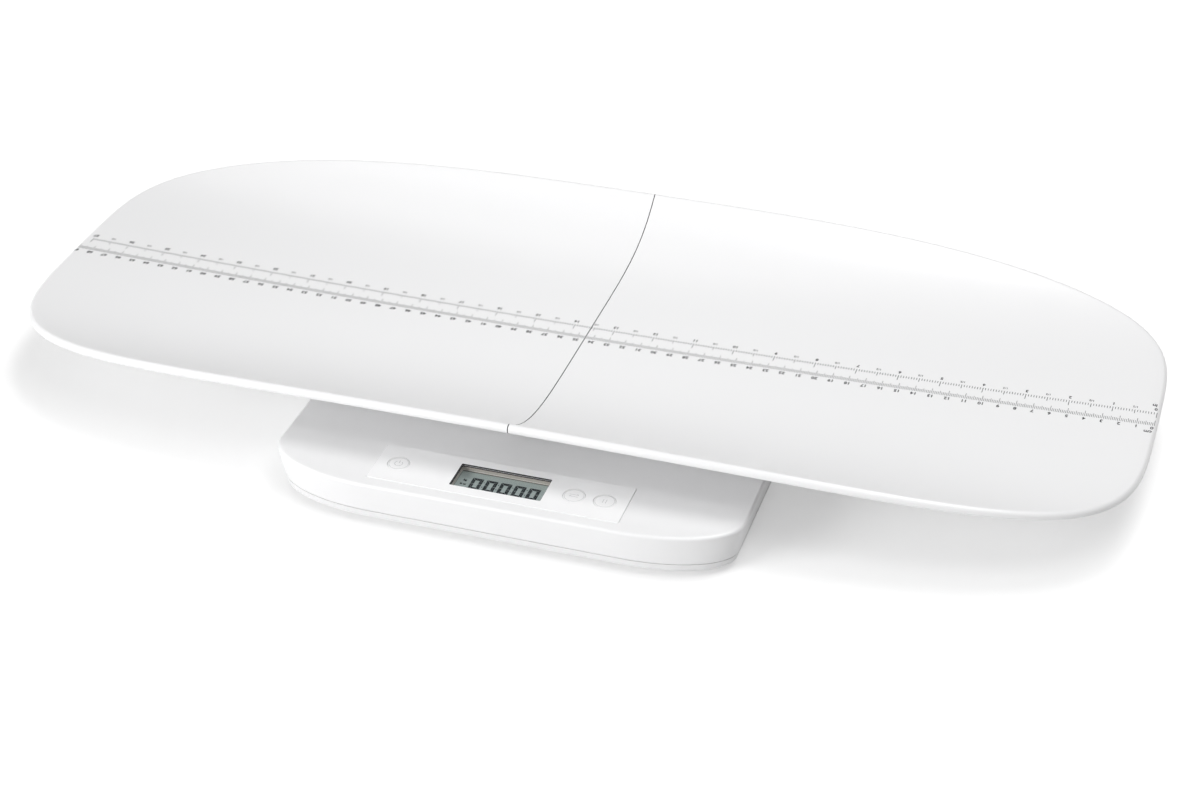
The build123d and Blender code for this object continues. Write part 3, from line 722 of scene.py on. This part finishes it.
LAMPS = {                       # place and size in metres, watts
    "left_box": ((-1.3, -1.8, 0.8), (1.2, 0.8), 37.1),
    "top_box": ((0.35, 0.2, 1.5), (0.8, 0.6), 10.7),
    "right_box": ((0.6, -0.6, 1.5), (0.8, 0.6), 5.9),
    "back_box": ((-0.6, 1.1, 1.2), (0.8, 0.6), 1.4),
}
for name, lamp in LAMPS.items():
    soft_box(name, *lamp)
print("lamps", len(LAMPS))

# %% [markdown]
# ## The printed ruler
#
# The tray is printed with a ruler: a centimetre scale with a tick at every millimetre, and an
# inch scale with a tick at every sixteenth, both read from the far side. Hundreds of equal
# strokes along a line are work for Geometry Nodes. One tree lays points along the line, drops
# each of them on the dish with a Raycast, and sets a thin bar on each, longer at every fifth
# and tenth millimetre and at every half and whole inch. The ink is a real skin a few
# hundredths of a millimetre thick.

# %% Ruler sizes
INK = 0.06 * MM                 # how thick the ink lies
INK_SINK = 0.02 * MM            # how far it sinks into the surface, so that no gap shows
RULER_ZERO_X = 345.0 * MM
INCH = 25.4 * MM
CM_LINE_Y = 10.2 * MM
INCH_LINE_Y = 24.7 * MM
SEAM_CLEAR = 0.4 * MM           # no ink this near to the gap between the halves
BOLD = 0.11 * MM                # each stroke of the print grows by this on both sides
TRAY_SIDES = {"tray_left": (-1.0, -SEAM_CLEAR), "tray_right": (SEAM_CLEAR, 1.0)}


def ink_material(name, tone, drift=0.04):
    """Printing ink: a dull skin with slightly uneven cover."""
    material, nodes, shader = blank_material(name)
    lighter = tuple(channel + drift for channel in tone)
    nodes.fill(shader, {
        "Base Color": two_tones(nodes, noise(nodes, 1500.0, 3.0), tone, lighter),
        "Roughness": between(nodes, noise(nodes, 400.0), 0.4, 0.55),
        "Specular IOR Level": 0.15,
    })
    return material


TICK_INK = ink_material("tick_ink", (0.11, 0.11, 0.115))
NUMBER_INK = ink_material("number_ink", (0.035, 0.035, 0.04), 0.02)
print("ruler from x", RULER_ZERO_X)

# %% Geometry Nodes helpers
RAY_START, RAY_LENGTH = 0.2, 1.0      # the drop starts this high over the floor, in metres


def new_tree(name, **inputs):
    """A geometry tree with named inputs of some kinds; returns it, its helper and its sockets."""
    tree = bpy.data.node_groups.new(name, "GeometryNodeTree")
    for kind, labels in inputs.items():
        for label in labels:
            tree.interface.new_socket(label, in_out="INPUT", socket_type=f"NodeSocket{kind}")
    tree.interface.new_socket("Geometry", in_out="OUTPUT", socket_type="NodeSocketGeometry")
    nodes = Nodes(tree)
    return tree, nodes, nodes.add("NodeGroupInput").outputs


def split_position(nodes):
    """The X, Y and Z of each point."""
    place = nodes.add("GeometryNodeInputPosition").outputs[0]
    return nodes.add("ShaderNodeSeparateXYZ", {0: place}).outputs


def vector(nodes, **axes):
    """A vector from numbers or sockets for some of X, Y and Z."""
    return nodes.add("ShaderNodeCombineXYZ", axes).outputs[0]


def drop_on(nodes, surface, lift):
    """The place at which a point's vertical meets a surface, plus a lift."""
    info = nodes.add("GeometryNodeObjectInfo", {"Object": surface}, transform_space="RELATIVE")
    here = split_position(nodes)
    ray = nodes.add("GeometryNodeRaycast", {
        "Target Geometry": info.outputs["Geometry"],
        "Source Position": vector(nodes, X=here["X"], Y=here["Y"], Z=RAY_START),
        "Ray Direction": (0, 0, -1), "Ray Length": RAY_LENGTH})
    hit = nodes.add("ShaderNodeSeparateXYZ", {0: ray.outputs["Hit Position"]}).outputs
    return vector(nodes, X=here["X"], Y=here["Y"], Z=calculate(nodes, "ADD", hit["Z"], lift))


def ink_and_end(nodes, geometry, material):
    """The tree's last steps: make instances real, give them their ink, and send them out."""
    real = nodes.add("GeometryNodeRealizeInstances", {0: geometry})
    inked = nodes.add("GeometryNodeSetMaterial", {"Geometry": real.outputs[0], "Material": material})
    nodes.add("NodeGroupOutput", {"Geometry": inked.outputs[0]})


def as_mesh(thing):
    """The plain mesh of an object as its modifiers leave it."""
    bpy.context.view_layer.update()
    return bpy.data.meshes.new_from_object(thing.evaluated_get(bpy.context.evaluated_depsgraph_get()))


def run_tree(tree, values, name, source=None):
    """The plain mesh that a tree makes; values are set by each input's identifier."""
    carrier = bpy.data.objects.new(name, source or bpy.data.meshes.new(name))
    scene.collection.objects.link(carrier)
    modifier = carrier.modifiers.new(name, "NODES")
    modifier.node_group = tree
    for item in tree.interface.items_tree:
        if item.item_type == "SOCKET" and item.in_out == "INPUT" and item.name in values:
            modifier[item.identifier] = values[item.name]
    mesh = as_mesh(carrier)
    mesh.name = name
    carrier.modifiers.remove(modifier)
    carrier.data = mesh
    return carrier


print("geometry helpers ready")

# %% Tick tree


def tick_tree():
    """Bars of three lengths along a line in X, dropped on a surface."""
    tree, nodes, given = new_tree(
        "ruler_ticks", Int=["Count", "Middle Every", "Long Every"],
        Float=["Pitch", "Start X", "Line Y", "Towards Back", "Width", "Short", "Middle", "Long",
               "Thickness", "Sink", "Low X", "High X"],
        Object=["Surface"], Material=["Material"])
    index = nodes.add("GeometryNodeInputIndex").outputs[0]
    line = nodes.add("GeometryNodeMeshLine", {
        "Count": given["Count"],
        "Start Location": vector(nodes, X=given["Start X"], Y=given["Line Y"]),
        "Offset": vector(nodes, X=calculate(nodes, "MULTIPLY", given["Pitch"], -1.0)),
    }, mode="OFFSET")

    def every(name, otherwise, chosen):
        """One length on each point whose number is a multiple of an input, another elsewhere."""
        left = calculate(nodes, "MODULO", index, given[name])
        mix = nodes.add("ShaderNodeMix", {
            "Factor": calculate(nodes, "LESS_THAN", left, 0.5), "A": otherwise, "B": given[chosen],
        }, data_type="FLOAT")
        return mix.outputs["Result"]

    length = every("Middle Every", given["Short"], "Middle")
    length = every("Long Every", length, "Long")
    stored = nodes.add("GeometryNodeStoreNamedAttribute", {
        "Geometry": line.outputs[0], "Name": "length", "Value": length,
    }, data_type="FLOAT", domain="POINT")

    here = split_position(nodes)["X"]
    too_low = calculate(nodes, "LESS_THAN", here, given["Low X"])
    too_high = calculate(nodes, "GREATER_THAN", here, given["High X"])
    keep = nodes.add("GeometryNodeDeleteGeometry", {
        "Geometry": stored.outputs["Geometry"],
        "Selection": calculate(nodes, "MAXIMUM", too_low, too_high)}, domain="POINT")

    recalled = nodes.add("GeometryNodeInputNamedAttribute", {"Name": "length"}, data_type="FLOAT")
    length = recalled.outputs["Attribute"]
    half = calculate(nodes, "MULTIPLY", length, 0.5)
    moved = nodes.add("GeometryNodeSetPosition", {
        "Geometry": keep.outputs[0],
        "Offset": vector(nodes, Y=calculate(nodes, "MULTIPLY", half, given["Towards Back"]))})
    middle = calculate(nodes, "MULTIPLY", given["Thickness"], 0.5)
    raised = calculate(nodes, "SUBTRACT", middle, given["Sink"])
    dropped = nodes.add("GeometryNodeSetPosition", {
        "Geometry": moved.outputs[0], "Position": drop_on(nodes, given["Surface"], raised)})

    bar = nodes.add("GeometryNodeMeshCube", {"Size": (1, 1, 1)})
    bars = nodes.add("GeometryNodeInstanceOnPoints", {
        "Points": dropped.outputs[0], "Instance": bar.outputs["Mesh"],
        "Scale": vector(nodes, X=given["Width"], Y=length, Z=given["Thickness"])})
    ink_and_end(nodes, bars.outputs[0], given["Material"])
    return tree


TICKS = tick_tree()
print("tick tree nodes", len(TICKS.nodes))

# %% [markdown]
# Each scale is made twice from the same tree, once for each half of the tray, because each
# half lifts off with its own print. The tree keeps only the ticks between Low X and High X.

# %% Ruler ticks
SCALES = {
    "cm_ticks": {
        "Count": 691, "Pitch": 1.0 * MM, "Line Y": CM_LINE_Y, "Towards Back": 1.0,
        "Width": 0.3 * MM, "Short": 3.1 * MM, "Middle": 4.1 * MM, "Long": 5.7 * MM,
        "Middle Every": 5, "Long Every": 10,
    },
    "inch_ticks": {
        "Count": 433, "Pitch": INCH / 16, "Line Y": INCH_LINE_Y, "Towards Back": -1.0,
        "Width": 0.4 * MM, "Short": 2.2 * MM, "Middle": 3.9 * MM, "Long": 5.3 * MM,
        "Middle Every": 8, "Long Every": 16,
    },
}


def lay_ticks():
    """Both scales on both halves."""
    made = 0
    for side, (low, high) in TRAY_SIDES.items():
        for scale, sizes in SCALES.items():
            values = {**sizes, "Start X": RULER_ZERO_X, "Thickness": INK + INK_SINK, "Sink": INK_SINK,
                      "Low X": low, "High X": high, "Surface": TRAY[side], "Material": TICK_INK}
            ticks = run_tree(TICKS, values, f"{scale}_{side}")
            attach(ticks, side)
            made += len(ticks.data.polygons) // 6
    return made


print("ticks", lay_ticks())

# %% [markdown]
# ## Numbers
#
# Text objects give clean numerals. Each is turned into a mesh, half a turn round, because the
# ruler is read from the far side of the scale. A second small tree then drops every point of
# the flat print on the dish, so that it follows the curve.

# %% Print helpers


def print_text(words, size, x, y, turn=pi, bold=BOLD):
    """The mesh of a few characters, centred on x, y, with the thickness of the ink."""
    curve = bpy.data.curves.new("print", "FONT")
    curve.body = words
    curve.size = size
    curve.align_x = "CENTER"
    curve.align_y = "CENTER"
    curve.resolution_u = 3
    curve.offset = bold
    curve.extrude = (INK + INK_SINK) / 2
    holder = bpy.data.objects.new("print", curve)
    scene.collection.objects.link(holder)
    mesh = as_mesh(holder)
    bpy.data.objects.remove(holder)
    bpy.data.curves.remove(curve)
    mesh.transform(Matrix.Translation((x, y, 0)) @ Matrix.Rotation(turn, 4, "Z"))
    return mesh


def join_meshes(name, meshes, material):
    """One mesh from several, with one material."""
    gather = bmesh.new()
    for mesh in meshes:
        gather.from_mesh(mesh)
        bpy.data.meshes.remove(mesh)
    for face in gather.faces:
        face.material_index = 0
    whole = bpy.data.meshes.new(name)
    gather.to_mesh(whole)
    gather.free()
    whole.materials.append(material)
    return whole


def drape_tree():
    """Drops each point of a flat print on a surface and keeps its height above it."""
    tree, nodes, given = new_tree(
        "drape_print", Geometry=["Geometry"], Float=["Lift"], Object=["Surface"], Material=["Material"])
    lift = calculate(nodes, "ADD", split_position(nodes)["Z"], given["Lift"])
    moved = nodes.add("GeometryNodeSetPosition", {
        "Geometry": given["Geometry"], "Position": drop_on(nodes, given["Surface"], lift)})
    ink_and_end(nodes, moved.outputs[0], given["Material"])
    return tree


DRAPE = drape_tree()
print("drape tree nodes", len(DRAPE.nodes))

# %% Ruler numbers
CM_NUMBER = 3.8 * MM            # type size; the numerals come out about 0.72 of it tall
CM_NUMBER_Y = CM_LINE_Y - 2.6 * MM
INCH_NUMBER = 3.5 * MM
INCH_NUMBER_Y = INCH_LINE_Y + 3.5 * MM
HALF_NUMBER = 2.5 * MM
HALF_NUMBER_Y = INCH_LINE_Y + 3.25 * MM
UNIT_SIZE = 4.0 * MM
ZERO_SHIFT = 1.0 * MM           # the noughts sit a little inside the end of their scales
CM_MARKS, INCH_MARKS = 70, 28
UNITS = {"cm": (RULER_ZERO_X - 2.9 * MM, CM_NUMBER_Y - 4.4 * MM),
         "in": (RULER_ZERO_X - 2.2 * MM, INCH_NUMBER_Y + 4.1 * MM)}


def ruler_words():
    """Every piece of print on the ruler: words, size, x, y, and a turn and weight where they differ."""
    def at(pitch, mark):
        """Where a mark lies along the ruler."""
        return RULER_ZERO_X - pitch * mark - ZERO_SHIFT * (mark == 0)

    words = [(str(mark), CM_NUMBER, at(10 * MM, mark), CM_NUMBER_Y) for mark in range(CM_MARKS)]
    words += [(str(mark), INCH_NUMBER, at(INCH, mark), INCH_NUMBER_Y) for mark in range(INCH_MARKS)]
    words += [("1/2", HALF_NUMBER, at(INCH, mark + 0.5), HALF_NUMBER_Y, pi, BOLD / 3)
              for mark in range(INCH_MARKS - 1)]
    return words + [(unit, UNIT_SIZE, x, y) for unit, (x, y) in UNITS.items()]


def lay_numbers():
    """The numbers of each half as one piece."""
    made = 0
    for side, (low, high) in TRAY_SIDES.items():
        chosen = [word for word in ruler_words() if low < word[2] < high]
        flat = join_meshes(f"numbers_{side}", [print_text(*word) for word in chosen], NUMBER_INK)
        lift = (INK - INK_SINK) / 2
        values = {"Surface": TRAY[side], "Lift": lift, "Material": NUMBER_INK}
        piece = run_tree(DRAPE, values, f"ruler_numbers_{side}", flat)
        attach(piece, side)
        made += len(chosen)
    return made


print("numbers", lay_numbers())

# %% [markdown]
# ## The display
#
# A liquid crystal display shows its figures as bars of dark crystal between two panes. Each
# figure has seven bars, mitred where they meet and a hair apart, and a nought uses six of them.
# The bars here are a thin skin on the upper pane, with dots between the figures and two small
# unit marks.

# %% Display figures
GLASS_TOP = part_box("lcd_glass")[1][2]
PANEL_LOW, PANEL_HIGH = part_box("control_panel")
PANEL_X = (PANEL_LOW[0] + PANEL_HIGH[0]) / 2
FIGURE_HEIGHT, FIGURE_WIDTH, FIGURE_PITCH = 9.0 * MM, 4.6 * MM, 8.6 * MM
FIRST_FIGURE_X = PANEL_X - 15.3 * MM
FIGURE_Y = -137.25 * MM
STROKE, STROKE_GAP = 2.1 * MM, 0.12 * MM
CRYSTAL_Z = (GLASS_TOP, GLASS_TOP + 0.03 * MM)
DOT, DOT_RISES = 0.9 * MM, (-2.0 * MM, 2.6 * MM)

LIT = ink_material("crystal_dark", (0.012, 0.017, 0.02), 0.006)


def skirt(gather, first, second):
    """Quads between two equal closed rows of vertices."""
    for corners in zip(first, first[1:] + first[:1], second[1:] + second[:1], second):
        gather.faces.new(corners)


def raise_outline(gather, outline, span):
    """A closed prism on an outline, between two heights."""
    bottom, top = ([gather.verts.new((p[0], p[1], z)) for p in outline] for z in span)
    gather.faces.new(list(reversed(bottom)))
    gather.faces.new(top)
    skirt(gather, bottom, top)


def nought(gather, x, y):
    """The six bars of a nought centred on x, y, mitred where they meet at a corner."""
    wide, tall = (FIGURE_WIDTH + STROKE) / 2, (FIGURE_HEIGHT + STROKE) / 2
    thin, high = wide - STROKE, tall - STROKE
    level = [(-wide + STROKE_GAP, tall), (-thin + STROKE_GAP, high),
             (thin - STROKE_GAP, high), (wide - STROKE_GAP, tall)]
    upright = [(wide, tall - STROKE_GAP), (thin, high - STROKE_GAP), (thin, STROKE_GAP), (wide, STROKE_GAP)]
    for way in (1, -1):
        for bar, side in ((level, 1), (upright, 1), (upright, -1)):
            outline = [(x + px * side, y + py * way) for px, py in bar]
            raise_outline(gather, outline, CRYSTAL_Z)


def dot(gather, x, y):
    """A small square dot."""
    angles = [2 * pi * (i + 0.5) / 4 for i in range(4)]
    raise_outline(gather, [(x + DOT / 2 * cos(a), y + DOT / 2 * sin(a)) for a in angles], CRYSTAL_Z)


def make_figures():
    """Five noughts with two dots between each pair."""
    gather = bmesh.new()
    for i in range(5):
        x = FIRST_FIGURE_X + FIGURE_PITCH * i
        nought(gather, x, FIGURE_Y)
        if i:
            for rise in DOT_RISES:
                dot(gather, x - FIGURE_PITCH / 2, FIGURE_Y + rise)
    finish_piece("display_figures", gather, LIT, "base")


make_figures()
print("figures at", FIRST_FIGURE_X, FIGURE_Y)

# %% Unit marks
MARK_X = PANEL_X - 22.4 * MM
UNIT_MARKS = [("kg", 2.3 * MM, MARK_X, -135.2 * MM, 0.0),      # words, size, x, y and turn
              ("lb oz", 1.8 * MM, MARK_X, -139.2 * MM, 0.0)]


def make_unit_marks():
    """Small unit marks at the left of the display."""
    mesh = join_meshes("unit_marks", [print_text(*word) for word in UNIT_MARKS], LIT)
    mesh.transform(Matrix.Translation((0, 0, GLASS_TOP + (INK + INK_SINK) / 2)))
    piece = bpy.data.objects.new("unit_marks", mesh)
    scene.collection.objects.link(piece)
    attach(piece, "base")


make_unit_marks()
print("unit marks at", MARK_X)

# %% [markdown]
# ## The edge of the window
#
# A clear window shows the cut edge of its own plate as a fine dark line, because that edge
# faces the dark gap round it. The plate here is so clear that a dark tone on its edge would
# hardly show. So a thin black skin stands in the gap as painted shade, a real ring with a
# thickness that stands for the shadow in the gap.

# %% Dark edge of the window
EDGE_SKIN = 0.07 * MM
EDGE_OUT, EDGE_CORNER = 0.09 * MM, 0.78 * MM      # how far out the skin stands, and its corner
EDGE_FOOT, EDGE_HEAD = 0.05 * MM, 0.04 * MM       # how far its rims stay inside the window's faces


def rounded_outline(low, high, inset, corner, steps=6):
    """A rectangle with round corners, some way inside a box, as a list of points."""
    points = []
    centres = [(1, 1), (-1, 1), (-1, -1), (1, -1)]
    for turn, (side_x, side_y) in enumerate(centres):
        x = (high[0] if side_x > 0 else low[0]) - side_x * (inset + corner)
        y = (high[1] if side_y > 0 else low[1]) - side_y * (inset + corner)
        for i in range(steps + 1):
            angle = pi / 2 * (turn + i / steps)
            points.append((x + corner * cos(angle), y + corner * sin(angle)))
    return points


def make_window_edge():
    """A black skin in the fine gap round the clear window, painted shade that shows through it."""
    low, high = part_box("display_lens")
    bottom, top = low[2] + EDGE_FOOT, high[2] - EDGE_HEAD
    outer = rounded_outline(low, high, -EDGE_OUT, EDGE_CORNER)
    inner = rounded_outline(low, high, EDGE_SKIN - EDGE_OUT, EDGE_CORNER - EDGE_SKIN)
    gather = bmesh.new()
    rings = [[gather.verts.new((x, y, z)) for x, y in ring]
             for ring, z in ((outer, bottom), (outer, top), (inner, top), (inner, bottom))]
    for first, second in zip(rings, rings[1:] + rings[:1]):
        skirt(gather, first, second)
    finish_piece("window_edge", gather, SMALL["components"], "base")


make_window_edge()
print("window edge ready")

# %% [markdown]
# ## Marks on the buttons
#
# Each cap has a thin ring and a plain sign in pale grey: a bar in an open circle for power,
# two arrows for the unit, and two upright bars for hold. A curve swept round a path would do,
# but flat strokes with a thickness of ink are lighter, so each sign is a few outlines.

# %% Button marks
MARK_INK = ink_material("mark_ink", (0.48, 0.48, 0.49))
MARK_STROKE = 0.3 * MM
RING_RADIUS, RING_STROKE, RING_STEPS = 5.6 * MM, 0.21 * MM, 64
POWER_RADIUS, POWER_GAP, POWER_BAR = 2.3 * MM, radians(38), (0.4 * MM, 2.9 * MM)
ARROW_HALF, ARROW_RISE, ARROW_HEAD, HEAD_SLOPE = 2.6 * MM, 0.9 * MM, 1.0 * MM, 0.8
HOLD_APART, HOLD_HALF = 0.9 * MM, 1.8 * MM


def arc_stroke(gather, x, y, radius, start, end, width, span, steps=40):
    """Part of a ring, as quads with a thickness."""
    rings = []
    for i in range(steps + 1):
        angle = start + (end - start) * i / steps
        ray = Vector((cos(angle), sin(angle)))
        inner, outer = ray * (radius - width / 2), ray * (radius + width / 2)
        rings.append([gather.verts.new((x + p.x, y + p.y, z)) for p in (inner, outer) for z in span])
    closed = abs(end - start - 2 * pi) < 1e-6
    if closed:
        bmesh.ops.delete(gather, geom=rings.pop(), context="VERTS")
        rings.append(rings[0])
    for first, second in zip(rings, rings[1:]):
        gather.faces.new((first[1], first[3], second[3], second[1]))
        gather.faces.new((first[0], second[0], second[2], first[2]))
        gather.faces.new((first[0], first[1], second[1], second[0]))
        gather.faces.new((first[2], second[2], second[3], first[3]))
    if not closed:
        for ring in (rings[0], rings[-1]):
            gather.faces.new((ring[0], ring[2], ring[3], ring[1]))


def stroke(gather, ax, ay, bx, by, span):
    """A straight stroke from a to b."""
    along = Vector((bx - ax, by - ay)).normalized()
    across = Vector((-along.y, along.x)) * (MARK_STROKE / 2)
    start, end = Vector((ax, ay)), Vector((bx, by))
    raise_outline(gather, [start + across, end + across, end - across, start - across], span)


def power_sign(gather, x, y, span):
    """A ring open at its top, with a bar in the opening."""
    start, end = pi / 2 + POWER_GAP, pi / 2 + 2 * pi - POWER_GAP
    arc_stroke(gather, x, y, POWER_RADIUS, start, end, MARK_STROKE, span)
    stroke(gather, x, y + POWER_BAR[0], x, y + POWER_BAR[1], span)


def unit_sign(gather, x, y, span):
    """Two arrows that point opposite ways."""
    for way in (1, -1):
        level = y + way * ARROW_RISE
        tip = x + way * ARROW_HALF
        stroke(gather, x - way * ARROW_HALF, level, tip, level, span)
        stroke(gather, tip - way * ARROW_HEAD, level + ARROW_HEAD * HEAD_SLOPE, tip, level, span)


def hold_sign(gather, x, y, span):
    """Two upright bars."""
    for side in (1, -1):
        across = x + side * HOLD_APART
        stroke(gather, across, y - HOLD_HALF, across, y + HOLD_HALF, span)


SIGNS = {"button_power": power_sign, "button_unit": unit_sign, "button_hold": hold_sign}


def make_button_marks():
    """A ring and a sign on every cap."""
    for name, sign in SIGNS.items():
        low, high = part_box(name)
        x, y = (low[0] + high[0]) / 2, (low[1] + high[1]) / 2
        span = high[2] - INK_SINK, high[2] + INK_SINK
        gather = bmesh.new()
        arc_stroke(gather, x, y, RING_RADIUS, 0, 2 * pi, RING_STROKE, span, steps=RING_STEPS)
        sign(gather, x, y, span)
        finish_piece(f"{name}_mark", gather, MARK_INK, name)


make_button_marks()
print("button marks", len(SIGNS))
